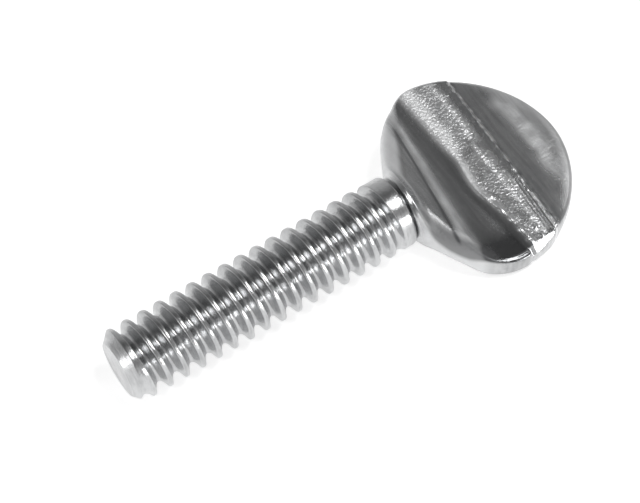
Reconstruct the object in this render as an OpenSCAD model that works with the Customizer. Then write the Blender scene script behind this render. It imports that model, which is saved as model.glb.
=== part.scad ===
// Thumb screw with a flat spade head, in one piece.
// The shank lies along X with its tip towards -X. The screw is as it comes to rest on a table:
// the shank lies on its crests and the head is turned about X until its edge touches down.
// The origin is on the shank's axis, at the face under the head where the collar ends.

/* [Thread] */
// Diameter over the thread's crests
thread_d = 3.4; // [3.3:0.01:3.6]
// Diameter at the bottom of the thread's grooves
root_d = 2.5; // [2.2:0.01:2.7]
// Distance from one crest to the next, 32 to the inch
thread_pitch = 0.79375; // [0.65:0.00125:0.9]
// Number of crests between the tip and the collar
thread_crests = 16; // [6:1:24]
// Width of the flat on a crest
crest_flat = 0.1; // [0.06:0.01:0.14]
// Width of the flat at the bottom of a groove
root_flat = 0.14; // [0.08:0.01:0.18]
// Diameter of the flat face at the tip
tip_d = 2.5; // [2.1:0.05:2.9]

/* [Collar] */
// Diameter of the plain collar under the head
collar_d = 3.36; // [3.3:0.01:3.6]
// Length of the plain collar
collar_len = 0.75; // [0.5:0.05:1.5]
// Diameter of the narrow groove between the collar and the head
groove_d = 2.9; // [2.6:0.02:2.92]
// Width of that groove
groove_len = 0.14; // [0.08:0.02:0.3]

/* [Head outline] */
// Diameter of the round neck where the head begins
neck_d = 3.06; // [2.96:0.02:3.2]
// Width of the head at its widest
head_w = 9.8; // [8.5:0.1:11]
// Distance from the collar to the top of the head
head_len = 8.57; // [7.8:0.01:9.5]
// Distance from the collar to the widest place of the head
belly_x = 3.9; // [3.5:0.1:4.2]
// Distance from the collar to where the shoulders' curve would meet the axis
shoulder_x = 0.66; // [0.5:0.02:0.8]
// Fullness of the outline's curve, 2 being an ellipse
outline_power = 1.9; // [1.8:0.05:2.2]
// Angle that the head leans to one side in its own plane, as pictured
head_lean = 4.7; // [0:0.1:8]

/* [Head faces] */
// Distance from the collar to the crease where the flare of the neck ends
flare_x = 2.1; // [1.9:0.05:2.4]
// Thickness at that crease
flare_t = 1.5; // [1.3:0.02:1.7]
// Distance from the collar to the bottom of the pressed valley
valley_x = 3.4; // [3.2:0.05:3.5]
// Thickness at the bottom of the valley
valley_t = 1; // [0.8:0.02:1.1]
// Distance from the collar to the near edge of the raised rib
rib_x = 3.97; // [3.8:0.01:4.2]
// Width of the raised rib along the axis
rib_w = 1.78; // [1.4:0.02:2.2]
// Thickness across the raised rib
rib_t = 1.32; // [1.12:0.02:1.4]
// Thickness of the thumb plate beyond the rib
plate_t = 1.04; // [0.8:0.02:1.1]
// Depth of the shallow dish in each face of the thumb plate
dish_depth = 0.05; // [0:0.01:0.1]
// Length of the step from the rib down to the thumb plate
step_len = 0.16; // [0.1:0.02:0.3]
// Angle of the rib's near edge to a line square to the head
rib_skew = 7.5; // [0:0.5:9]
// Angle of the rib's far edge to a line square to the head
step_skew = 3; // [0:0.5:6]
// Radius on the edges all round the head
edge_r = 0.17; // [0.1:0.01:0.3]
// Length over which the neck turns from round to flat
neck_blend = 2; // [1.6:0.1:3]

/* [Hidden] */
$fn = 96;
thread_r = thread_d / 2;
root_r = root_d / 2;
tip_r = tip_d / 2;
collar_r = collar_d / 2;
groove_r = groove_d / 2;
neck_r = neck_d / 2;
belly_r = head_w / 2;
thread_len = thread_crests * thread_pitch;
tip_x = -collar_len - thread_len;
step_x = rib_x + rib_w;
// The head starts on the far side of the groove and reaches back into it
neck_x = groove_len;
groove_reach = 0.2;
// Half height of the narrow wall left along the sides of the round neck
seam_half = 0.01;
// Steps along the neck and shoulders, along the faces, and along the thumb plate
neck_steps = 16;
face_steps = 5;
plate_steps = 22;
// Steps across one face of the head
cross_steps = 22;
// How many times the outline is looked up again along a skewed line
skew_rounds = 6;

// 0 before a, 1 after b, and a smooth rise between them
function ease(a, b, x) = let (t = min(1, max(0, (x - a) / (b - a)))) t * t * (3 - 2 * t);

// Straight line from [x0, y0] to [x1, y1]
function ramp(x0, y0, x1, y1, x) = y0 + (y1 - y0) * (x - x0) / (x1 - x0);

// Quadratic curve from y0 at x0 to y1 at x1, pulled towards the height yc
function dip(x0, y0, yc, x1, y1, x) =
    let (t = (x - x0) / (x1 - x0))
    (1 - t) * (1 - t) * y0 + 2 * t * (1 - t) * yc + t * t * y1;

// Share of the full width at a place that is q of the way from the widest line to the end
function fullness(q) = pow(max(0, 1 - pow(min(1, abs(q)), outline_power)), 1 / outline_power);

// Half width of the bare oval, without its neck
function oval(x) =
    x < belly_x
        ? belly_r * fullness((belly_x - x) / (belly_x - shoulder_x))
        : belly_r * fullness((x - belly_x) / (head_len - belly_x));

// Half width of the head with its neck, the two joined by a fillet
function half_width(x) = x < belly_x ? pow(pow(oval(x), 4) + pow(neck_r, 4), 0.25) * neck_fade(x) : oval(x);

// The neck counts less towards the widest line, where the oval takes over
function neck_fade(x) =
    let (full = pow(pow(belly_r, 4) + pow(neck_r, 4), 0.25))
    1 - (1 - belly_r / full) * ease(shoulder_x, belly_x, x);

// Half thickness along the head's middle, from the neck to the top
function half_thickness(x) =
    x < flare_x ? dip(neck_x, neck_r, ramp(0, neck_r, 1, flare_t / 2, 0.78), flare_x, flare_t / 2, x)
    : x < valley_x ? dip(flare_x, flare_t / 2, ramp(0, flare_t / 2, 1, valley_t / 2, 0.9), valley_x, valley_t / 2, x)
    : x < rib_x ? ramp(0, valley_t / 2, 1, rib_t / 2, pow((x - valley_x) / (rib_x - valley_x), 2))
    : x < step_x ? rib_t / 2
    : x < step_x + step_len ? ramp(step_x, rib_t / 2, step_x + step_len, plate_t / 2, x)
    : plate_t / 2 - dish_depth * sin(180 * min(1, (x - step_x - step_len) / (head_len - step_x - step_len)));

// Slope of the line across the face at a place along it
function skew(x) =
    x < rib_x ? tan(rib_skew) * ease(neck_x, flare_x, x)
    : x < step_x ? ramp(rib_x, tan(rib_skew), step_x, tan(step_skew), x)
    : tan(step_skew) * (1 - ease(step_x, head_len, x));

// Place along the head of the point at y on the line that crosses the axis at u
function along(u, y) = u - skew(u) * y;

// Where the line from u meets the outline at the share v of its half width
function across(u, v, rounds) =
    rounds == 0 ? v * half_width(u) : v * half_width(along(u, across(u, v, rounds - 1)));

// How far a point lies inside the outline
function inside(x, y) =
    let (
        dx = 0.001,
        slope = (half_width(x + dx) - half_width(x - dx)) / (2 * dx),
        near_side = (half_width(x) - abs(y)) / sqrt(1 + slope * slope),
        rho = pow(pow(abs(x - belly_x) / (head_len - belly_x), outline_power)
            + pow(abs(y) / belly_r, outline_power), 1 / outline_power),
        far_side = norm([x - belly_x, y]) * (1 / max(rho, 0.001) - 1)
    )
    x < belly_x ? near_side : min(far_side, belly_r);

// Height of the flat head's face above its middle plane, with the edge rounded
function plate_z(u, x, y) =
    let (d = min(edge_r, max(0, inside(x, y))))
    half_thickness(u) - edge_r + sqrt(edge_r * edge_r - (edge_r - d) * (edge_r - d));

// Height of the face at the share v of the half width: round at the neck, flat beyond it
function face_z(u, v, x, y) =
    let (round_z = half_thickness(u) * sqrt(1 - v * v), t = ease(neck_x, neck_x + neck_blend, u))
    max(seam_half, (1 - t) * round_z + t * plate_z(u, x, y));

// Stations along the head, set close where the form turns
stations = concat(
    [for (i = [0 : neck_steps - 1]) neck_x + (flare_x - neck_x) * i / neck_steps],
    [for (i = [0 : face_steps - 1]) flare_x + (valley_x - flare_x) * i / face_steps],
    [for (i = [0 : face_steps - 1]) valley_x + (rib_x - valley_x) * i / face_steps],
    [for (i = [0 : face_steps - 1]) rib_x + rib_w * i / face_steps],
    [step_x],
    [for (i = [0 : plate_steps - 1])
        let (start = step_x + step_len, t = 90 * i / plate_steps)
        start + (head_len - start) * sin(t)],
    [head_len - 0.004]
);

// Shares of the half width at which a section has points, set close by its edges
shares = [for (i = [0 : cross_steps]) let (c = cos(180 * i / cross_steps)) c * (1.35 - 0.35 * c * c)];

// One closed section: over the top face from +Y to -Y, and back along the lower one
function section(u) = concat(
    [for (v = shares) let (y = across(u, v, skew_rounds), x = along(u, y)) [x, y, face_z(u, v, x, y)]],
    [for (i = [cross_steps : -1 : 0])
        let (v = shares[i], y = across(u, v, skew_rounds), x = along(u, y))
        [x, y, -face_z(u, v, x, y)]]
);

// The head's points, leaning in its own plane about the middle of the neck
function leaned(p) = let (x = p[0] - neck_x)
    [neck_x + x * cos(head_lean) + p[1] * sin(head_lean), p[1] * cos(head_lean) - x * sin(head_lean), p[2]];
points = [for (u = stations) each [for (p = section(u)) leaned(p)]];

// Lowest height of the head when it is turned about X
function lowest(turn) = min([for (p = points) p[1] * sin(turn) + p[2] * cos(turn)]);

// Turn between a and b at which the head touches the plane under the shank, by halving
function touch_down(a, b, rounds) =
    let (m = (a + b) / 2)
    rounds == 0 ? m : lowest(m) < -thread_r ? touch_down(a, m, rounds - 1) : touch_down(m, b, rounds - 1);
rest_turn = touch_down(0, 45, 18);

// The head as one skin over its sections, closed by a flat end at the neck and at the top
module head() {
    ring = 2 * (cross_steps + 1);
    last = len(stations) - 1;
    sides = [
        for (i = [0 : last - 1], j = [0 : ring - 1])
            let (k = (j + 1) % ring)
            each [
                [i * ring + j, (i + 1) * ring + j, (i + 1) * ring + k],
                [i * ring + j, (i + 1) * ring + k, i * ring + k]
            ]
    ];
    near_cap = [for (j = [0 : ring - 1]) j];
    far_cap = [for (j = [ring - 1 : -1 : 0]) last * ring + j];
    polyhedron(points = points, faces = concat([near_cap], sides, [far_cap]), convexity = 6);
}

// Half of the shank's section: crests and grooves from the tip to the collar and the groove
function thread_outline() = concat(
    [[tip_x, 0], [tip_x, tip_r]],
    [
        for (i = [0 : thread_crests - 1])
            let (x = tip_x + (i + 0.5) * thread_pitch, r = crest_r(i))
            each [
                [x - crest_flat / 2, r],
                [x + crest_flat / 2, r],
                [x + (thread_pitch - root_flat) / 2, root_r],
                [x + (thread_pitch + root_flat) / 2, root_r]
            ]
    ],
    [
        [-collar_len + (thread_pitch - crest_flat) / 2, collar_r],
        [0, collar_r],
        [0, groove_r],
        [neck_x + groove_reach, groove_r],
        [neck_x + groove_reach, 0]
    ]
);

// Radius of a crest: the first is cut down by the chamfer at the tip
function crest_r(i) = i == 0 ? (thread_r + tip_r) / 2 : thread_r;

module shank() {
    rotate([0, 90, 0])
        rotate_extrude()
            polygon([for (p = thread_outline()) [p[1], p[0]]]);
}

module thumb_screw() {
    color([0.62, 0.63, 0.64]) {
        shank();
        rotate([rest_turn, 0, 0])
            head();
    }
}

thumb_screw();
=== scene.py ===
"""Thumb screw with a pressed spade head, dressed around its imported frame."""

import math

import bpy
import numpy as np
from bpy.props import FloatProperty, FloatVectorProperty, IntProperty, PointerProperty
from mathutils import Matrix, Vector


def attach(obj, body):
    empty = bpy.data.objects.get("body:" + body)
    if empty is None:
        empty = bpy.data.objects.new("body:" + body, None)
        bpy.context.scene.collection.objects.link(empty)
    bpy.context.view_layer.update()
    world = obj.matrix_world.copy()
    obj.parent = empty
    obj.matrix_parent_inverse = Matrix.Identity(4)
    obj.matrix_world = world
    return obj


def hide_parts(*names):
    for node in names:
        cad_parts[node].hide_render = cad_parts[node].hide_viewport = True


bl_info = {
    "name": "Thumb screw",
    "version": (1, 0, 0),
    "blender": (4, 5, 0),
    "location": "3D View > Sidebar > Thumb screw",
    "description": "Makes a plated thumb screw, its finish, and the table and light it is seen in",
    "category": "Object",
}

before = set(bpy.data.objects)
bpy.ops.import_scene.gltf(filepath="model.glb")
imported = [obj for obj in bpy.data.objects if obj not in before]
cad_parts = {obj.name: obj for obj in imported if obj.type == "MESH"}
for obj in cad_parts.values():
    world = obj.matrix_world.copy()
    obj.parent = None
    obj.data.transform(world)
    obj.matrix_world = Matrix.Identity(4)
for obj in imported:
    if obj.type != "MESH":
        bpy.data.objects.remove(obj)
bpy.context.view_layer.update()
NODE = "thumb_screw"
BODY = "root"
# Attributes: the rough mark of the pressed faces, which also lightens the colour, the painted shade
# mark, and the painted sheen mark
ROUGH = "pressed_rough"
DARK = "painted_shade_mark"
PALE = "painted_sheen"
MM = 0.001
# Where the head's first ring stands, hidden in the collar
HEAD_START = 0.14 * MM
# How far the shank's last rings reach into the neck
NECK_REACH = 0.2 * MM
# Roughness mark over the whole shank
SHANK_ROUGH = 0.12
# Points along one side of the noise's table
LATTICE = 64
# Depth and cell in millimetres of the shank's dents, and the seed's offset
DENTS = ((6e-3, 0.6, 0), (3e-3, 0.17, 6))
# How far the dented surface is set back so that no dent stands above the plain form
DENT_FLOOR = 9e-3
# Lumps of metal on the rib and its edges: place along, place across and size, in millimetres
MOUNDS = (
    (4.0, -1.65, 0.11),
    (3.93, -2.4, 0.08),
    (3.98, -3.0, 0.1),
    (3.96, -3.6, 0.09),
    (3.9, -4.2, 0.07),
    (4.86, -3.3, 0.08),
    (4.72, -3.85, 0.1),
    (4.74, -4.3, 0.08),
    (5.86, 1.95, 0.09),
    (5.88, 1.3, 0.07),
)
SEED = 5
# Angle of the scratches on the head, and how each piece stretches them
HEAD_GRAIN = math.radians(12.0)
SHANK_STRETCH = (8.0, 1.0, 1.0)
HEAD_STRETCH = (6.0, 0.4, 1.0)
# Height of the bump on each piece
SHANK_BUMP = 3e-6
HEAD_BUMP = 6e-6
# Lamps: name, direction over the head's own plane, distance, sides, radiance, way of side one
LAMPS = (
    ("key_lamp", (0.28, -0.09, 0.955), 0.25, (0.06, 0.095), 12.0, (0.79, -0.61, 0.0)),
    ("front_lamp", (0.304, -0.88, 0.36), 0.3, (0.065, 0.06), 20.0, (1.0, 0.0, 0.0)),
    ("side_lamp", (-0.938, -0.03, 0.325), 0.3, (0.09, 0.08), 9.0, (1.0, 0.0, 0.0)),
)
# Brightness of the room by height of the direction, from the horizon to straight up
ROOM_LEVELS = ((0.0, 0.62), (0.25, 0.53), (0.45, 0.4), (0.7, 0.24), (0.88, 0.17), (1.0, 0.15))
# The window: its direction, where its soft edge starts and ends, and its brightness
WINDOW_WAY = (0.1, 0.9, 0.42)
WINDOW_EDGE = (0.74, 0.94)
WINDOW_LEVEL = 0.28
# Half the side of the table
TABLE_HALF = 0.6


class ShankSizes(bpy.types.PropertyGroup):
    """Sizes of the threaded shank, its collar and its tip"""

    thread_radius: FloatProperty(
        name="Thread radius", description="Radius over the crests", default=0.0017, unit="LENGTH"
    )
    root_radius: FloatProperty(
        name="Root radius",
        description="Radius at the bottom of the grooves",
        default=0.00126,
        unit="LENGTH",
    )
    pitch: FloatProperty(
        name="Pitch",
        description="Distance from one crest to the next",
        default=0.00079375,
        unit="LENGTH",
    )
    turns: IntProperty(
        name="Turns",
        description="Turns of thread from the tip to the collar",
        default=16,
    )
    start_turn: FloatProperty(
        name="Start of the thread",
        description="Angle about the shank at which the first crest leaves the tip",
        default=math.radians(-12.0),
        subtype="ANGLE",
    )
    crest_share: FloatProperty(
        name="Crest share",
        description="Half width of the crest as a share of the pitch",
        default=0.12,
        subtype="FACTOR",
    )
    crest_round: FloatProperty(
        name="Crest rounding",
        description="Blur of the crest as a share of the pitch",
        default=0.045,
        subtype="FACTOR",
    )
    flank_power: FloatProperty(
        name="Flank power", description="Hollowness of the grooves, 1 being a plain V", default=2.1
    )
    tip_radius: FloatProperty(
        name="Tip radius",
        description="Radius of the flat face at the tip",
        default=0.00125,
        unit="LENGTH",
    )
    collar_length: FloatProperty(
        name="Collar length",
        description="Length of the plain collar up to the origin",
        default=0.00075,
        unit="LENGTH",
    )
    collar_end: FloatProperty(
        name="Collar end",
        description="How far the collar reaches beyond the origin",
        default=0.00048,
        unit="LENGTH",
    )
    collar_radius: FloatProperty(
        name="Collar radius",
        description="Radius of the plain collar",
        default=0.00166,
        unit="LENGTH",
    )
    collar_round: FloatProperty(
        name="Collar rounding",
        description="Rounding on the collar's edges",
        default=0.00012,
        unit="LENGTH",
    )
    groove_radius: FloatProperty(
        name="Groove radius",
        description="Radius in the narrow groove under the head",
        default=0.0014,
        unit="LENGTH",
    )
    groove_width: FloatProperty(
        name="Groove width", description="Width of that groove", default=0.00018, unit="LENGTH"
    )


class HeadSizes(bpy.types.PropertyGroup):
    """Sizes of the pressed spade head"""

    neck_radius: FloatProperty(
        name="Neck radius", description="Radius of the round neck", default=0.00153, unit="LENGTH"
    )
    neck_end: FloatProperty(
        name="Neck end",
        description="From the origin to the end of the round neck",
        default=0.00092,
        unit="LENGTH",
    )
    width: FloatProperty(
        name="Width",
        description="Width of the head",
        default=0.0098,
        unit="LENGTH",
    )
    length: FloatProperty(
        name="Length",
        description="From the origin to the top of the head",
        default=0.00856,
        unit="LENGTH",
    )
    belly: FloatProperty(
        name="Belly",
        description="From the origin to the widest place",
        default=0.0039,
        unit="LENGTH",
    )
    shoulder: FloatProperty(
        name="Shoulder",
        description="From the origin to where the shoulders' curve meets the axis",
        default=0.00066,
        unit="LENGTH",
    )
    power: FloatProperty(name="Fullness", description="Power of the outline's curve", default=1.9)
    lean: FloatProperty(
        name="Lean",
        description="Angle that the head leans in its own plane",
        default=math.radians(4.7),
        subtype="ANGLE",
    )
    rest_turn: FloatProperty(
        name="Turn at rest",
        description="Turn about the shank at which the head's edge touches the table",
        default=math.radians(12.15),
        subtype="ANGLE",
    )
    knee: FloatProperty(
        name="Knee",
        description="From the origin to the foot of the neck",
        default=0.0014,
        unit="LENGTH",
    )
    knee_thickness: FloatProperty(
        name="Thickness at the knee",
        description="Thickness at the neck's foot",
        default=0.00186,
        unit="LENGTH",
    )
    crease: FloatProperty(
        name="Crease",
        description="From the origin to the end of the flare",
        default=0.0021,
        unit="LENGTH",
    )
    crease_thickness: FloatProperty(
        name="Thickness at the crease",
        description="Thickness at the crease",
        default=0.0015,
        unit="LENGTH",
    )
    crease_skew: FloatProperty(
        name="Crease skew",
        description="Slant of the crease",
        default=math.radians(1.9),
        subtype="ANGLE",
    )
    drop: FloatProperty(
        name="Drop",
        description="Length of the drop behind the crease",
        default=0.0006,
        unit="LENGTH",
    )
    valley: FloatProperty(
        name="Valley",
        description="From the origin to the bottom of the valley",
        default=0.0034,
        unit="LENGTH",
    )
    valley_thickness: FloatProperty(
        name="Thickness in the valley",
        description="Thickness in the valley",
        default=0.001,
        unit="LENGTH",
    )
    rib: FloatProperty(
        name="Rib",
        description="From the origin to the rib's near edge",
        default=0.00397,
        unit="LENGTH",
    )
    rib_width: FloatProperty(
        name="Rib width", description="Width of the raised rib", default=0.00178, unit="LENGTH"
    )
    rib_thickness: FloatProperty(
        name="Thickness at the rib",
        description="Thickness over the rib",
        default=0.00128,
        unit="LENGTH",
    )
    plate_thickness: FloatProperty(
        name="Plate thickness",
        description="Thickness of the thumb plate",
        default=0.00104,
        unit="LENGTH",
    )
    dish: FloatProperty(
        name="Dish",
        description="Depth of the dish in the thumb plate",
        default=0.00005,
        unit="LENGTH",
    )
    step: FloatProperty(
        name="Step",
        description="Length of the step down to the thumb plate",
        default=0.00016,
        unit="LENGTH",
    )
    rib_skew: FloatProperty(
        name="Rib skew",
        description="Slant of the rib's near edge",
        default=math.radians(7.5),
        subtype="ANGLE",
    )
    step_skew: FloatProperty(
        name="Step skew",
        description="Slant of the rib's far edge",
        default=math.radians(3.0),
        subtype="ANGLE",
    )
    edge: FloatProperty(
        name="Edge rounding",
        description="Rounding all round the head",
        default=0.00018,
        unit="LENGTH",
    )
    flare_edge: FloatProperty(
        name="Flare rounding",
        description="Width of the rounding on the flare's sides",
        default=0.0012,
        unit="LENGTH",
    )
    bevel: FloatProperty(
        name="Bevel", description="Bevel on the rib's near end", default=0.00038, unit="LENGTH"
    )
    neck_blend: FloatProperty(
        name="Neck blend",
        description="Length over which the neck turns flat",
        default=0.0024,
        unit="LENGTH",
    )


class FinishColours(bpy.types.PropertyGroup):
    """Colours and gloss of the plating, and the colours of its painted shade and sheen"""

    plating: FloatVectorProperty(
        name="Plating",
        description="Colour of the bright plating",
        default=(0.52, 0.525, 0.53),
        subtype="COLOR",
    )
    dull: FloatVectorProperty(
        name="Dull plating",
        description="Colour where it has dulled",
        default=(0.35, 0.354, 0.36),
        subtype="COLOR",
    )
    # Painted shade: the colour that the dark mark blends towards
    painted_shade: FloatVectorProperty(
        name="Painted shade",
        description="Colour where it is stained dark",
        default=(0.14, 0.142, 0.145),
        subtype="COLOR",
    )
    # The pale colour of the rough pressed marks, also laid on as painted sheen by the pale mark
    worn: FloatVectorProperty(
        name="Worn and sheen",
        description="Colour where it is pressed rough",
        default=(0.88, 0.885, 0.89),
        subtype="COLOR",
    )
    gloss: FloatProperty(
        name="Roughness",
        description="Roughness of the bright plating",
        default=0.16,
        subtype="FACTOR",
    )
    wear: FloatProperty(
        name="Rough share",
        description="Extra roughness where it is pressed",
        default=0.34,
        subtype="FACTOR",
    )


class StageSettings(bpy.types.PropertyGroup):
    """The table, the view and the light"""

    table: FloatVectorProperty(
        name="Table", description="Colour of the table", default=(0.72, 0.72, 0.72), subtype="COLOR"
    )
    table_glow: FloatProperty(
        name="Table glow",
        description="Brightness that the table adds as a white background",
        default=0.66,
    )
    view_azimuth: FloatProperty(
        name="View azimuth",
        description="Direction of the view round the head's own plane",
        default=math.radians(33.349),
        subtype="ANGLE",
    )
    view_elevation: FloatProperty(
        name="View elevation",
        description="Angle at which the view looks down on the head's own plane",
        default=math.radians(60.861),
        subtype="ANGLE",
    )
    view_place: FloatVectorProperty(
        name="View place",
        description="Place of the camera over the head's own plane",
        default=(-0.0262435, -0.0346375, 0.0745970),
        unit="LENGTH",
    )
    lens: FloatProperty(name="Lens", description="Focal length in millimetres", default=112.57)


def settings():
    """The scene's settings for this object."""
    return bpy.context.scene.thumb_screw


def ease(a, b, x):
    """0 before a, 1 after b, and 3t^2 - 2t^3 between them."""
    t = np.clip((x - a) / (b - a), 0.0, 1.0)
    return t * t * (3.0 - 2.0 * t)


def ramp(x0, y0, x1, y1, x):
    """The straight line from (x0, y0) to (x1, y1)."""
    return y0 + (y1 - y0) * (x - x0) / (x1 - x0)


def dip(x0, y0, yc, x1, y1, x):
    """The quadratic curve from y0 at x0 to y1 at x1, pulled towards the height yc."""
    t = np.clip((x - x0) / (x1 - x0), 0.0, 1.0)
    return (1 - t) ** 2 * y0 + 2 * t * (1 - t) * yc + t * t * y1


def value_noise(x, y, cell, seed):
    """Smooth noise from -1 to 1: random values on a square lattice of that cell, eased between."""
    table = np.random.default_rng(seed).uniform(-1.0, 1.0, (LATTICE, LATTICE))
    fx, fy = x / cell, y / cell
    ix, iy = np.floor(fx).astype(int), np.floor(fy).astype(int)
    tx, ty = ease(0.0, 1.0, fx - ix), ease(0.0, 1.0, fy - iy)
    left, right = ix % LATTICE, (ix + 1) % LATTICE
    low, high = iy % LATTICE, (iy + 1) % LATTICE
    a = table[left, low] * (1 - tx) + table[right, low] * tx
    b = table[left, high] * (1 - tx) + table[right, high] * tx
    return a * (1 - ty) + b * ty


def tube_mesh(name, points, attributes=()):
    """A closed skin over rings of points, [ring, point, xyz], with a flat face at each end."""
    rings, count = points.shape[:2]
    i, j = np.meshgrid(np.arange(rings - 1), np.arange(count), indexing="ij")
    k = (j + 1) % count
    quads = np.stack([i * count + j, i * count + k, (i + 1) * count + k, (i + 1) * count + j], -1)
    quads = quads.reshape(-1, 4)
    flat = points.reshape(-1, 3)
    first, last = np.arange(count)[::-1], (rings - 1) * count + np.arange(count)
    a, b, c, d = (flat[quads[:, n]] for n in range(4))
    volume = np.einsum("ij,ij->i", a, np.cross(b, c) + np.cross(c, d)).sum()
    if volume < 0:
        quads, first, last = quads[:, ::-1], first[::-1], last[::-1]
    loops = np.concatenate([quads.ravel(), first, last])
    sides = len(quads) * 4
    starts = np.concatenate([np.arange(len(quads)) * 4, [sides, sides + count]])
    mesh = bpy.data.meshes.new(name)
    mesh.vertices.add(len(flat))
    mesh.vertices.foreach_set("co", flat.astype(np.float32).ravel())
    mesh.loops.add(len(loops))
    mesh.loops.foreach_set("vertex_index", loops.astype(np.int32))
    mesh.polygons.add(len(starts))
    mesh.polygons.foreach_set("loop_start", starts.astype(np.int32))
    smooth = np.ones(len(starts), bool)
    smooth[-2:] = False
    mesh.polygons.foreach_set("use_smooth", smooth)
    mesh.update(calc_edges=True)
    mesh.validate()
    for label, values in attributes:
        layer = mesh.attributes.new(label, "FLOAT", "POINT")
        layer.data.foreach_set("value", values.astype(np.float32).ravel())
    piece = bpy.data.objects.new(name, mesh)
    bpy.context.scene.collection.objects.link(piece)
    return piece


def turned(points, angle):
    """The points turned about X by an angle."""
    c, s = math.cos(angle), math.sin(angle)
    x, y, z = points[..., 0], points[..., 1], points[..., 2]
    return np.stack([x, y * c - z * s, y * s + z * c], -1)


def groove_hollow(sizes, off, steps=256):
    """Depth of the groove, 0 on a crest and 1 at the bottom, off being pitches from the crest.

    It is 1 - (1 - t)^power between the lands, blurred with a bell curve and set back to 0 to 1.
    """
    grid = np.linspace(-0.5, 0.5, steps, endpoint=False)
    t = np.clip((np.abs(grid) - sizes.crest_share) / (0.5 - sizes.crest_share), 0.0, 1.0)
    plain = 1.0 - (1.0 - t) ** sizes.flank_power
    weights = np.exp(-((grid / sizes.crest_round) ** 2))
    weights = np.roll(weights / weights.sum(), steps // 2)
    soft = np.real(np.fft.ifft(np.fft.fft(plain) * np.fft.fft(weights)))
    soft = (soft - soft.min()) / (soft.max() - soft.min())
    return np.interp(off, grid, soft, period=1.0)


def shank_points(sizes, rings=640, around=144):
    """The shank as radii over place x and angle a: crests run along the helix x = pitch a / 2 pi.

    The radius is the least of the thread's, the chamfer's, the worn crests' and the collar edge's.
    """
    pitch = sizes.pitch
    tip = -sizes.collar_length - sizes.turns * pitch
    stop = sizes.collar_end
    x = np.linspace(tip, stop + sizes.groove_width + NECK_REACH, rings)[:, None]
    a = np.linspace(0.0, 2.0 * np.pi, around, endpoint=False)[None, :]
    climb = (a + sizes.start_turn) / (2 * np.pi) + 0.5
    turn = (x - tip) / pitch - climb
    # The groove runs in over the first turn, and out on the collar past the last one
    groove_turn = np.floor(turn) + 0.5 + climb
    run_in = ease(0.3, 0.75, groove_turn)
    run_out = ease(sizes.turns + 0.35, sizes.turns + 0.8, groove_turn)
    hollow = groove_hollow(sizes, turn - np.round(turn)) * (run_in * (1.0 - run_out))
    # The groove is a fifth shallower towards the head
    shallower = 0.2 * ease(-5.0 * MM, -0.8 * MM, x)
    depth = (sizes.thread_radius - sizes.root_radius) * (1.0 - shallower)
    r = sizes.thread_radius - depth * hollow
    chamfer_slope = 1.05
    r = np.minimum(r, sizes.tip_radius + (x - tip) * chamfer_slope)
    worn = ease(-1.2 * sizes.collar_length, -0.2 * sizes.collar_length, x)
    r = np.minimum(r, sizes.thread_radius + (sizes.collar_radius - sizes.thread_radius) * worn)
    fall = np.clip((x - stop + sizes.collar_round) / sizes.collar_round, 0.0, 1.0)
    quarter = np.sqrt(np.clip(1.0 - fall**2, 0.0, 1.0))
    edge = sizes.collar_radius - sizes.collar_round * (1.0 - quarter)
    r = np.where(x > stop - sizes.collar_round, np.minimum(r, edge), r)
    r = np.where(x < stop, r, sizes.groove_radius)
    along, across = x + 0.0 * a, a * sizes.thread_radius
    dents = sum(deep * value_noise(along, across, cell * MM, SEED + k) for deep, cell, k in DENTS)
    r = r + np.where(x < stop, (dents - DENT_FLOOR) * MM * ease(tip, tip + 0.3 * MM, x), 0.0)
    # Painted shade: darker on the crests of the far side, a little in the grooves, and black in the
    # neck's groove
    far = ease(-0.2, 0.7, np.cos(a - 0.9))
    dark = (0.1 * hollow + 0.34 * (1.0 - hollow) * far) * ease(tip, tip + 0.4 * MM, x)
    dark = np.where(x > stop - 0.02 * MM, 1.0, dark)
    return np.stack([along, r * np.cos(a), r * np.sin(a)], -1), dark


def half_width(sizes, x):
    """Half width of the head: an oval of the given power, joined to the neck by fourth powers."""
    belly, full = sizes.belly, sizes.width / 2
    near, far = (belly - x) / (belly - sizes.shoulder), (x - belly) / (sizes.length - belly)
    q = np.clip(np.abs(np.where(x < belly, near, far)), 0.0, 1.0)
    oval = full * np.clip(1.0 - q**sizes.power, 0.0, None) ** (1.0 / sizes.power)
    scale = (full**4 + sizes.neck_radius**4) ** 0.25
    fade = 1.0 - (1.0 - full / scale) * ease(sizes.shoulder, belly, x)
    joined = (oval**4 + sizes.neck_radius**4) ** 0.25 * fade
    return np.where(x < belly, joined, oval)


def half_thickness(sizes, x):
    """Half thickness along the middle: neck, flare, drop, valley, rib, step and dished plate."""
    neck, crease, valley = sizes.neck_radius, sizes.crease_thickness / 2, sizes.valley_thickness / 2
    rib, plate = sizes.rib_thickness / 2, sizes.plate_thickness / 2
    rib_end, drop_end = sizes.rib + sizes.rib_width, sizes.crease + sizes.drop
    foot = rib_end + sizes.step
    # The drop behind the crease ends this share of its depth above the valley's bottom
    low = valley + 0.18 * (crease - valley)
    knee = sizes.knee_thickness / 2
    h = dip(sizes.neck_end, neck, knee + 0.05 * (neck - knee), sizes.knee, knee, x)
    h = np.where(x < sizes.knee, h, ramp(sizes.knee, knee, sizes.crease, crease, x))
    fallen = ease(sizes.crease - 0.1 * MM, drop_end, x)
    h = np.where(x < sizes.crease, h, crease + (low - crease) * fallen)
    h = np.where(x < drop_end, h, dip(drop_end, low, valley, sizes.valley, valley, x))
    rise = np.clip((x - sizes.valley) / (sizes.rib - sizes.valley), 0.0, 1.0) ** 2
    h = np.where(x < sizes.valley, h, valley + (rib - valley) * rise)
    h = np.where(x < rib_end, h, rib + (plate - rib) * ease(rib_end, foot, x))
    beyond = np.clip((x - foot) / (sizes.length - foot), 0.0, 1.0)
    return np.where(x < foot, h, plate - sizes.dish * np.sin(np.pi * beyond))


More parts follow.
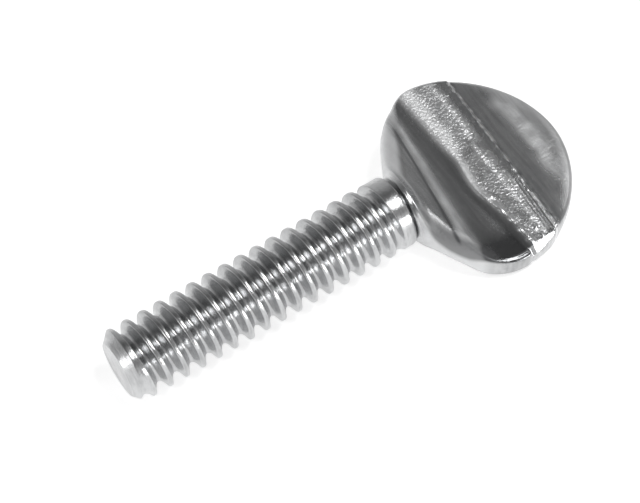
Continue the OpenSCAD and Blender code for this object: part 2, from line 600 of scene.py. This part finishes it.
def skew(sizes, x):
    """Slope across the face of the line that crosses the axis at x."""
    near, far = math.tan(sizes.rib_skew), math.tan(sizes.step_skew)
    crease = math.tan(sizes.crease_skew)
    rib_end = sizes.rib + sizes.rib_width
    s = crease * ease(HEAD_START, sizes.crease, x)
    s = s + (near - crease) * ease(sizes.crease, sizes.rib, x)
    s = np.where(x < sizes.rib, s, ramp(sizes.rib, near, rib_end, far, x))
    return np.where(x < rib_end, s, far * (1.0 - ease(rib_end, sizes.length, x)))


def inside(sizes, x, y):
    """Distance from a point to the outline, measured square to it near the edge."""
    dx = 1e-6
    slope = (half_width(sizes, x + dx) - half_width(sizes, x - dx)) / (2 * dx)
    near = (half_width(sizes, x) - np.abs(y)) / np.sqrt(1.0 + slope**2)
    p = sizes.power
    rho = (np.abs(x - sizes.belly) / (sizes.length - sizes.belly)) ** p
    rho = rho + (np.abs(y) / (sizes.width / 2)) ** p
    rho = np.clip(rho, 1e-9, None) ** (1.0 / p)
    far = np.hypot(x - sizes.belly, y) * (1.0 / rho - 1.0)
    return np.clip(np.where(x < sizes.belly, near, far), 0.0, sizes.width)


def hump(x, middle, spread):
    """The bell curve: 1 at the middle, falling off as exp(-t^2) with t in spreads."""
    return np.exp(-(((x - middle) / spread) ** 2))


def bowed(u, y):
    """The rib's near edge bows towards the neck: u is raised by a bell over y, in millimetres."""
    bow = 0.34 * hump(y, -1.0, 1.4)
    return u + bow * ease(2.7, 3.7, u) * (1.0 - ease(4.5, 5.4, u))


def head_marks(u, y, d):
    """Where the faces are rough, darkened by painted shade and lightened by painted sheen, from 0
    to 1.

    Each mark is a product of bells and smooth rises over u along the head, y across it and the
    distance d from the rim, all in millimetres.
    """
    w = bowed(u, y)
    slant = u - 0.1 * y
    patchy = 0.5 + 0.5 * value_noise(u + 40.0, y + 40.0, 0.42, SEED + 4)
    dots = 0.5 + 0.5 * value_noise(u * 1.5 + 20.0, y + 20.0, 0.2, SEED + 7)

    # Rough, which also lightens the colour, partly pressed texture and partly painted highlight:
    # the rib's first edge, its middle streak, its far edge, fine lines and the rib itself
    first = hump(w, 4.1, 0.17 + 0.2 * ease(-0.5, 2.5, y)) * (0.12 + 0.75 * ease(0.2, 1.4, y))
    first = first + 0.35 * dots * hump(w, 4.02, 0.12) * (1.0 - ease(-1.9, -1.2, y))
    streak = hump(u, 5.16 - 0.2 * (1.0 - ease(0.5, 2.3, y)), 0.1) * (0.3 + 0.7 * patchy)
    far_line = hump(u, 5.80 + 0.04 * np.minimum(y, 0.0), 0.085) * (0.15 + 1.1 * dots**2)
    lines = (0.5 + 0.5 * np.cos(2.0 * np.pi * (u - 0.05 * y) / 0.17)) ** 2
    inner = lines * hump(u, 5.4, 0.4) * (1.0 - ease(-1.9, -0.9, y)) * (0.3 + 0.9 * dots)
    rib = (0.22 + 0.12 * ease(0.8, 2.0, y)) * ease(4.0, 4.3, w)
    rib = rib * (1.0 - ease(5.3, 5.7, u)) * (0.3 + 0.9 * patchy)
    # Rough: a patch on the thumb plate, and its rim
    patch = 0.12 * hump(u, 7.5, 0.5) * hump(y, 0.3, 2.2) * (0.4 + 0.8 * patchy)
    rim = 0.08 * hump(d, 0.0, 0.4) * ease(5.9, 6.4, u)
    rough = first + 0.45 * streak + 0.8 * far_line + 0.6 * inner + rib + patch + rim
    rough = np.clip(rough, 0.0, 1.0)
    rough = rough * ease(0.27, 0.34, d + ease(5.3, 5.8, u) + (y > 0.0))

    # Pale, a painted sheen and painted reflections that lighten the colour and add roughness: a
    # cloud on the plate, the drop behind the crease, the rib's smooth middle, the flare
    cloud = hump(u, 7.45 - 0.06 * y**2, 0.42) * ease(-2.6, -1.0, y) * (1.0 - ease(2.2, 3.2, y))
    drop = hump(slant, 2.36, 0.2) * ease(0.1, 0.4, d) * (0.6 + 0.4 * patchy)
    smooth = hump(w, 4.08, 0.17) * hump(y, -0.3, 1.3)
    flare = ease(0.6, 1.0, u) * (1.0 - ease(1.7, 2.0, slant))
    shoulder = flare * (0.12 + 0.88 * ease(0.4, 1.6, y) * (1.0 - ease(0.6, 1.1, d)))
    # Pale, rough and dark at once, a painted sheen and painted shade: the near edge of the flare
    brow = ease(0.75, 1.1, u) * (1.0 - ease(2.1, 2.9, u))
    brow = brow * (1.0 - ease(-1.1, -0.5, y)) * (1.0 - ease(0.5, 1.1, d))
    edge = 0.5 * hump(d, 0.0, 0.4) * ease(6.2, 7.4, u)
    rough = np.clip(rough + 0.035 + 0.25 * brow, 0.0, 1.0)
    pale = 0.45 * cloud * (0.5 + 0.7 * patchy) + 0.8 * drop + 0.8 * smooth
    pale = np.clip(pale + shoulder + edge + brow, 0.0, 1.0)

    # Dark, all painted shade: the valley, the line under its lip, the crease, the shadows by the
    # step, a corner
    near_end = 1.0 - ease(-4.2, -1.4, y)
    band = ease(2.6, 2.95, slant) * (1.0 - ease(3.6, 3.95, w)) * (0.36 + 0.44 * near_end)
    under = hump(d, 0.1, 0.09) * ease(2.9, 3.2, u)
    under = under * (1.0 - ease(3.62, 3.72, u)) * (1.0 - ease(-3.4, -2.8, y))
    line = 0.8 * hump(slant, 2.03, 0.06) * ease(0.3, 0.7, d)
    shadow = 0.5 * hump(u, 5.48, 0.15) * (0.4 + 0.6 * patchy)
    shadow = shadow + 1.1 * hump(u, 5.85, 0.1) * (1.0 - dots) ** 1.5
    edge_kept = 0.25 + 0.75 * ease(0.0, 0.1, d)
    dark = (band + line + shadow) * ease(0.05, 0.2, d) + (0.75 * brow + 1.5 * under) * edge_kept
    corner = 0.7 * ease(2.5, 2.9, slant) * (1.0 - ease(3.5, 3.7, u)) * hump(y, -4.4, 0.7)
    dark = np.clip(dark + corner * edge_kept, 0.0, 1.0)
    return rough, dark, pale


def relief(u, y, d):
    """Height of the pressed forms, with u, y, d and the height in millimetres.

    Beads on the rib's edges, fine ridges by the step, lumps on the rib, a lip and a hollow in the
    near end of the valley, a rolled rim round the plate, and the mounds.
    """
    w = bowed(u, y)
    worn = 0.7 + 0.3 * value_noise(u * 1.5, y, 0.3, SEED + 1)
    bead = 0.04 * hump(w, 4.05, 0.13) + 0.025 * hump(u, 5.74, 0.06) + 0.008 * hump(u, 6.0, 0.06)
    zone = ease(4.9, 5.1, u) * (1.0 - ease(5.6, 5.75, u)) * (1.0 - ease(-2.4, -1.4, y))
    ridges = 0.007 * zone * np.cos(2.0 * np.pi * (u - 0.05 * y) / 0.15)
    on_rib = ease(3.95, 4.1, w) * (1.0 - ease(5.75, 5.95, u))
    lumps = 0.004 * value_noise(u * 2.0, y, 0.21, SEED + 2)
    lumps = on_rib * (lumps + 0.006 * value_noise(u * 1.6, y * 0.6, 0.5, SEED + 3))
    near = 1.0 - ease(-3.9, -3.2, y)
    lip = 0.035 * near * ease(2.5, 3.5, u) * (1.0 - ease(3.66, 3.74, u)) * hump(d, 0.25, 0.06)
    hollow = -0.03 * hump(u, 3.25, 0.5) * hump(y, -3.5, 0.9)
    roll = -0.045 * np.exp(-d / 0.2) * ease(5.9, 6.6, u)
    mounds = sum(
        size * 0.5 * hump(u, at, size) * hump(y, across, size) for at, across, size in MOUNDS
    )
    return bead * worn + ridges + lumps + lip + hollow + roll + mounds


def edge_sizes(sizes, u, y):
    """Width of the rim's rounding: wide on the flare and tight beyond it, later on the far side."""
    far = ease(-0.5 * MM, 0.5 * MM, y)
    tight = ease((1.2 + 1.3 * far) * MM, (2.6 + 1.1 * far) * MM, u)
    return sizes.flare_edge + (sizes.edge - sizes.flare_edge) * tight


def face_points(sizes, u, share, rounds=8):
    """One face over u and share of the half width: half thickness, rounded or bevelled at the rim.

    The slanted line from u meets the outline where y = share * half width, found by repeating it.
    """
    y = share * half_width(sizes, u)
    for _ in range(rounds):
        y = share * half_width(sizes, u - skew(sizes, u) * y)
    x = u - skew(sizes, u) * y
    d = inside(sizes, x, y)
    um, ym, dm = u / MM, y / MM, d / MM
    h = half_thickness(sizes, bowed(um, ym) * MM)
    e = edge_sizes(sizes, u, y)
    fall = np.minimum(e, 0.95 * h)
    inward = 1.0 - np.clip(d / e, 0.0, 1.0)
    plate = h - fall + fall * np.sqrt(np.clip(1.0 - inward**2, 0.0, None))
    bevel_top = sizes.bevel - sizes.width / 2 + 0.09 * (u - sizes.rib)
    bevel_slope = 1.05
    bevel = h - bevel_slope * np.clip(bevel_top - y, 0.0, sizes.width)
    at_rib = ease(3.68, 3.76, um) * (1.0 - ease(5.35, 5.6, um))
    at_rib = at_rib * (1.0 - ease(-4.0, -3.0, ym))
    plate = plate + (bevel - plate) * at_rib
    flat = ease(HEAD_START, HEAD_START + sizes.neck_blend, u)
    z = (1.0 - flat) * h * np.sqrt(np.clip(1.0 - share**2, 0.0, None)) + flat * plate
    # The first rings are drawn in to about the groove's depth, and are darkened with painted shade
    waist = 1.0 - 0.07 * (1.0 - ease(0.62, 0.7, um))
    y, z = y * waist, z * waist
    quiet = ease(0.0, 0.12 * MM, d) * (1.0 - at_rib * ease(-0.1 * MM, 0.0, bevel_top - y))
    z = z + relief(um, ym, dm) * MM * flat * quiet
    rough, dark, pale = head_marks(um, ym, dm)
    dark = np.maximum(dark, 1.0 - ease(0.62, 0.68, um))
    return np.stack([x, y, z, rough, dark, pale], -1)


def head_points(sizes, above=216, below=96, wall=9, counts=(44, 36, 34, 60), beyond=70):
    """The head as rings along it: upper face, near wall, lower face, far wall.

    The rings are evenly set on four stretches, and by the sine of an even angle on the plate.
    """
    foot = sizes.rib + sizes.rib_width + sizes.step
    last = sizes.length - 1e-7
    marks = (
        HEAD_START,
        sizes.crease - 0.2 * MM,
        sizes.rib - 0.5 * MM,
        sizes.rib + 0.5 * MM,
        foot + 0.3 * MM,
    )
    stretches = [
        np.linspace(a, b, count, endpoint=False) for a, b, count in zip(marks, marks[1:], counts)
    ]
    plate = (last - foot - 0.3 * MM) * np.sin(np.linspace(0.0, np.pi / 2, beyond))
    u = np.concatenate([*stretches, foot + 0.3 * MM + plate])[:, None]

    def shares(count):
        """Shares from 1 to -1, set closer towards both."""
        even = np.linspace(1.0, -1.0, count)[None, :]
        return 0.75 * np.sin(np.pi / 2 * even) + 0.25 * even

    # Columns: x, y, z, rough, dark, pale
    upper = face_points(sizes, u, shares(above))
    lower = face_points(sizes, u, shares(below)[:, ::-1]) * (1.0, 1.0, -1.0, 1.0, 1.0, 1.0)
    t = (np.arange(1, wall + 1) / (wall + 1))[None, :, None]
    bulge = np.array([0.0, 1.0, 0.0, 0.0, 0.0, 0.0]) * 0.02 * MM * (1.0 - (2 * t - 1) ** 2)
    bulge = bulge * ease(HEAD_START, HEAD_START + sizes.neck_blend, u)[:, :, None]
    near = upper[:, -1:] * (1 - t) + lower[:, :1] * t - bulge
    far = lower[:, -1:] * (1 - t) + upper[:, :1] * t + bulge
    rings = np.concatenate([upper, near, lower, far], 1)
    c, s = math.cos(sizes.lean), math.sin(sizes.lean)
    px, py = rings[..., 0] - HEAD_START, rings[..., 1]
    points = np.stack([HEAD_START + px * c + py * s, py * c - px * s, rings[..., 2]], -1)
    return turned(points, sizes.rest_turn), rings[..., 3], rings[..., 4], rings[..., 5]


def add(tree, kind, label=None, **values):
    """A new node, its settings set, and its sockets set or linked.

    A name such as _0 is a socket's number, and underscores in other names stand for spaces.
    """
    node = tree.nodes.new(kind)
    if label:
        node.label = label
    for key, value in values.items():
        if hasattr(node, key):
            setattr(node, key, value)
        else:
            number = key[1:].isdigit()
            socket = node.inputs[int(key[1:])] if number else node.inputs[key.replace("_", " ")]
            if isinstance(value, bpy.types.NodeSocket):
                tree.links.new(value, socket)
            else:
                socket.default_value = value
    return node


def maths(tree, operation, *values, label=None):
    """The output of a Math node over the values."""
    sockets = {f"_{k}": value for k, value in enumerate(values)}
    return add(tree, "ShaderNodeMath", label, operation=operation, **sockets).outputs[0]


def blend(tree, label, share, first, second):
    """The colour between the first and the second at that share."""
    return add(
        tree, "ShaderNodeMix", label, data_type="RGBA", _0=share, _6=first, _7=second
    ).outputs[2]


def noise(tree, label, place, **values):
    """The value of a noise texture at that place."""
    return add(tree, "ShaderNodeTexNoise", label, Vector=place, **values).outputs["Fac"]


def plating_group():
    """Shared effect of the plating: grain, dull patches, scratches, painted shade and painted
    sheen.

    Colour goes from bright to dull by the patches, then to the pale colour by the rough marks of
    pressed texture and the pale mark of painted sheen, then to the painted shade colour by the
    dark mark. Roughness and height are weighted sums of the same values.
    """
    tree = bpy.data.node_groups.new("plating surface", "ShaderNodeTree")
    colours = ("Bright", "Dull", "Painted shade", "Worn and sheen")
    values = ("Gloss", "Wear", "Rough", "Dark", "Pale")
    sockets = [(label, "Color") for label in colours] + [("Along", "Vector")]
    for label, kind in sockets + [(label, "Float") for label in values]:
        tree.interface.new_socket(label, in_out="INPUT", socket_type=f"NodeSocket{kind}")
    for label, kind in (("Color", "Color"), ("Roughness", "Float"), ("Height", "Float")):
        tree.interface.new_socket(label, in_out="OUTPUT", socket_type=f"NodeSocket{kind}")
    given = tree.nodes.new("NodeGroupInput").outputs
    out = tree.nodes.new("NodeGroupOutput").inputs
    place = tree.nodes.new("ShaderNodeTexCoord").outputs["Object"]
    # Scale is in cells to the metre
    patches = noise(tree, "dull patches", place, Scale=900.0, Detail=7.0, Roughness=0.72)
    grain = noise(tree, "fine grain", place, Scale=14000.0, Detail=3.0)
    speck = noise(tree, "pressed specks", place, Scale=9000.0, Detail=1.0, Roughness=0.5)
    lines = noise(tree, "scratches", given["Along"], Scale=1000.0, Detail=4.0)
    both = maths(tree, "ADD", patches, lines)
    patch = add(
        tree, "ShaderNodeMapRange", "patch mask", Value=both, From_Min=0.85, From_Max=1.25
    )
    tint = blend(tree, "tint", patch.outputs[0], given["Bright"], given["Dull"])
    # Towards the pale colour: by the rough mark as pressed texture, and by the pale mark as painted
    # sheen
    rough_and_sheen = maths(tree, "MULTIPLY_ADD", given["Pale"], 0.65, given["Rough"], label="rough_and_sheen")
    rough_and_sheen.node.use_clamp = True
    worn = blend(tree, "worn", rough_and_sheen, tint, given["Worn and sheen"])
    # Painted shade: towards the shade colour by the dark mark
    shaded = blend(tree, "painted_shade", given["Dark"], worn, given["Painted shade"])
    tree.links.new(shaded, out["Color"])
    rough = maths(tree, "MULTIPLY_ADD", patches, 0.1, given["Gloss"])
    rough = maths(tree, "MULTIPLY_ADD", given["Pale"], 0.38, rough)
    rough = maths(tree, "MULTIPLY_ADD", given["Rough"], given["Wear"], rough)
    tree.links.new(rough, out["Roughness"])
    # The specks are evened about 0, so that they raise and sink the surface where it is rough
    height = maths(tree, "MULTIPLY", maths(tree, "SUBTRACT", speck, 0.5), given["Rough"])
    height = maths(tree, "MULTIPLY_ADD", height, 11.0, grain)
    height = maths(tree, "MULTIPLY_ADD", lines, 0.5, height)
    height = maths(tree, "MULTIPLY_ADD", patches, 2.0, height)
    tree.links.new(height, out["Height"])
    return tree


def plating_material(name, depth, turn, stretch):
    """Bright plated steel: a metal with the shared effect's colour, roughness and height."""
    group = bpy.data.node_groups.get("plating surface") or plating_group()
    finish = settings().finish
    material = bpy.data.materials.new(name)
    material.use_nodes = True
    tree = material.node_tree
    shader = tree.nodes["Principled BSDF"]
    shader.inputs["Metallic"].default_value = 1.0
    effect = tree.nodes.new("ShaderNodeGroup")
    effect.node_tree = group
    colours = {
        "Bright": finish.plating,
        "Dull": finish.dull,
        "Painted shade": finish.painted_shade,
        "Worn and sheen": finish.worn,
    }
    for label, colour in colours.items():
        effect.inputs[label].default_value = (*colour, 1.0)
    place = tree.nodes.new("ShaderNodeTexCoord").outputs["Object"]
    along = add(tree, "ShaderNodeMapping", "drawn out", Vector=place, Rotation=turn, Scale=stretch)
    tree.links.new(along.outputs[0], effect.inputs["Along"])
    effect.inputs["Gloss"].default_value = finish.gloss
    effect.inputs["Wear"].default_value = finish.wear
    for label, socket in ((ROUGH, "Rough"), (DARK, "Dark"), (PALE, "Pale")):
        mark = add(tree, "ShaderNodeAttribute", attribute_name=label)
        tree.links.new(mark.outputs["Fac"], effect.inputs[socket])
    bump = tree.nodes.new("ShaderNodeBump")
    bump.inputs["Distance"].default_value = depth
    bump.inputs["Strength"].default_value = 1.0
    tree.links.new(effect.outputs["Height"], bump.inputs["Height"])
    tree.links.new(effect.outputs["Color"], shader.inputs["Base Color"])
    tree.links.new(effect.outputs["Roughness"], shader.inputs["Roughness"])
    tree.links.new(bump.outputs["Normal"], shader.inputs["Normal"])
    return material


def settle(piece, material):
    """Gives a piece its material and its place in the frame."""
    piece.data.materials.append(material)
    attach(piece, BODY)
    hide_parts(NODE)


class MakeShank(bpy.types.Operator):
    """Make the threaded shank with its tip and collar"""

    bl_idname = "mesh.thumb_screw_shank"
    bl_label = "Threaded shank"

    def execute(self, context):
        points, dark = shank_points(settings().shank)
        none = np.zeros_like(dark)
        marks = [(ROUGH, none + SHANK_ROUGH), (DARK, dark), (PALE, none)]
        piece = tube_mesh("threaded_shank", points, marks)
        settle(piece, plating_material("plated thread", SHANK_BUMP, (0.0, 0.0, 0.0), SHANK_STRETCH))
        return {"FINISHED"}


class MakeHead(bpy.types.Operator):
    """Make the pressed spade head with its neck"""

    bl_idname = "mesh.thumb_screw_head"
    bl_label = "Spade head"

    def execute(self, context):
        points, rough, dark, pale = head_points(settings().head)
        piece = tube_mesh("spade_head", points, [(ROUGH, rough), (DARK, dark), (PALE, pale)])
        grain = (0.0, 0.0, HEAD_GRAIN)
        settle(piece, plating_material("plated head", HEAD_BUMP, grain, HEAD_STRETCH))
        return {"FINISHED"}


def as_rested(vector):
    """A direction or place given over the head's own plane, turned as the screw rests."""
    return Matrix.Rotation(settings().head.rest_turn, 3, "X") @ Vector(vector)


def make_lamp(name, towards, distance, size, radiance, along):
    """A soft rectangular lamp facing the screw from a direction, its first side along another."""
    data = bpy.data.lights.new(name, "AREA")
    data.shape = "RECTANGLE"
    data.size, data.size_y = size
    data.energy = radiance * math.pi * size[0] * size[1]
    lamp = bpy.data.objects.new(name, data)
    way = as_rested(towards).normalized()
    upright = way.cross(as_rested(along)).normalized()
    basis = Matrix((upright.cross(way), upright, way)).transposed()
    lamp.matrix_world = Matrix.Translation(way * distance) @ basis.to_4x4()
    bpy.context.scene.collection.objects.link(lamp)


def make_table():
    """A flat table under the shank, pale, that shows as white and keeps the soft shadow."""
    stage = settings().stage
    z = -settings().shank.thread_radius
    corners = [(TABLE_HALF * a, TABLE_HALF * b, z) for a, b in ((-1, -1), (1, -1), (1, 1), (-1, 1))]
    mesh = bpy.data.meshes.new("table_top")
    mesh.from_pydata(corners, [], [(0, 1, 2, 3)])
    table = bpy.data.objects.new("table_top", mesh)
    bpy.context.scene.collection.objects.link(table)
    material = bpy.data.materials.new("pale table")
    material.use_nodes = True
    tree = material.node_tree
    shader = tree.nodes["Principled BSDF"]
    shader.inputs["Base Color"].default_value = (*stage.table, 1.0)
    shader.inputs["Roughness"].default_value = 0.9
    shader.inputs["Specular IOR Level"].default_value = 0.0
    shader.inputs["Emission Color"].default_value = (1.0, 1.0, 1.0, 1.0)
    path = tree.nodes.new("ShaderNodeLightPath").outputs
    seen = maths(tree, "MAXIMUM", path["Is Camera Ray"], path["Is Glossy Ray"])
    seen = maths(tree, "MAXIMUM", seen, path["Is Transmission Ray"])
    glow = maths(tree, "MULTIPLY", seen, stage.table_glow)
    tree.links.new(glow, shader.inputs["Emission Strength"])
    table.data.materials.append(material)


def make_world():
    """A room darker overhead than at the horizon, with a bright window beyond the far edge."""
    world = bpy.data.worlds.new("studio room")
    world.use_nodes = True
    tree = world.node_tree
    back = tree.nodes["Background"]
    way = tree.nodes.new("ShaderNodeTexCoord").outputs["Generated"]
    parts = add(tree, "ShaderNodeSeparateXYZ", Vector=way)
    shade = tree.nodes.new("ShaderNodeValToRGB")
    tree.links.new(parts.outputs["Z"], shade.inputs["Fac"])
    levels = shade.color_ramp
    while len(levels.elements) < len(ROOM_LEVELS):
        levels.elements.new(0.5)
    for element, (place, level) in zip(levels.elements, ROOM_LEVELS):
        element.position = place
        element.color = (level, level, level, 1.0)
    towards = add(tree, "ShaderNodeVectorMath", "window direction", operation="DOT_PRODUCT", _0=way)
    towards.inputs[1].default_value = WINDOW_WAY
    window = add(tree, "ShaderNodeMapRange", "window", interpolation_type="SMOOTHSTEP")
    tree.links.new(towards.outputs["Value"], window.inputs["Value"])
    window.inputs["From Min"].default_value, window.inputs["From Max"].default_value = WINDOW_EDGE
    window.inputs["To Max"].default_value = WINDOW_LEVEL
    total = blend(tree, "room and window", 1.0, shade.outputs["Color"], window.outputs[0])
    total.node.blend_type = "ADD"
    tree.links.new(total, back.inputs["Color"])
    bpy.context.scene.world = world


def make_camera():
    """A camera at the pictured angle, given over the head's plane, turned as the screw rests."""
    stage = settings().stage
    data = bpy.data.cameras.new("view")
    data.sensor_width = 36.0
    data.lens = stage.lens
    data.clip_start, data.clip_end = 0.001, 10.0
    az, el = stage.view_azimuth, stage.view_elevation
    ahead = Vector((math.sin(az) * math.cos(el), math.cos(az) * math.cos(el), -math.sin(el)))
    right = Vector((math.cos(az), -math.sin(az), 0.0))
    up = right.cross(ahead)
    camera = bpy.data.objects.new("view", data)
    basis = Matrix((as_rested(right), as_rested(up), as_rested(-ahead))).transposed()
    camera.matrix_world = Matrix.Translation(as_rested(stage.view_place)) @ basis.to_4x4()
    bpy.context.scene.collection.objects.link(camera)
    bpy.context.scene.camera = camera


class MakeStage(bpy.types.Operator):
    """Make the table, the lamps, the room and the camera"""

    bl_idname = "scene.thumb_screw_stage"
    bl_label = "Table, light and view"

    def execute(self, context):
        make_table()
        make_world()
        for lamp in LAMPS:
            make_lamp(*lamp)
        make_camera()
        context.scene.view_settings.view_transform = "Standard"
        return {"FINISHED"}


class ThumbScrewSettings(bpy.types.PropertyGroup):
    """All settings of the thumb screw"""

    shank: PointerProperty(type=ShankSizes, name="Shank", description="Sizes of the shank")
    head: PointerProperty(type=HeadSizes, name="Head", description="Sizes of the head")
    finish: PointerProperty(type=FinishColours, name="Finish", description="Colours of the plating")
    stage: PointerProperty(type=StageSettings, name="Stage", description="Table, view and light")


class ThumbScrewPanel(bpy.types.Panel):
    """Lists the sizes and the steps in the sidebar"""

    bl_idname = "VIEW3D_PT_thumb_screw"
    bl_label = "Thumb screw"
    bl_space_type = "VIEW_3D"
    bl_region_type = "UI"
    bl_category = "Thumb screw"

    def draw(self, context):
        layout = self.layout
        for group in (settings().shank, settings().head, settings().finish, settings().stage):
            box = layout.box()
            for key in group.__annotations__:
                box.prop(group, key)
        for operator in (MakeShank, MakeHead, MakeStage):
            layout.operator(operator.bl_idname)


CLASSES = (
    ShankSizes,
    HeadSizes,
    FinishColours,
    StageSettings,
    ThumbScrewSettings,
    MakeShank,
    MakeHead,
    MakeStage,
    ThumbScrewPanel,
)


def register():
    """Register the classes and the scene's settings."""
    for cls in CLASSES:
        bpy.utils.register_class(cls)
    bpy.types.Scene.thumb_screw = PointerProperty(type=ThumbScrewSettings)


def unregister():
    """Remove the scene's settings and the classes."""
    del bpy.types.Scene.thumb_screw
    for cls in reversed(CLASSES):
        bpy.utils.unregister_class(cls)


def main():
    """Register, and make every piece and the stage."""
    register()
    bpy.ops.mesh.thumb_screw_shank()
    bpy.ops.mesh.thumb_screw_head()
    bpy.ops.scene.thumb_screw_stage()


if __name__ == "__main__":
    main()
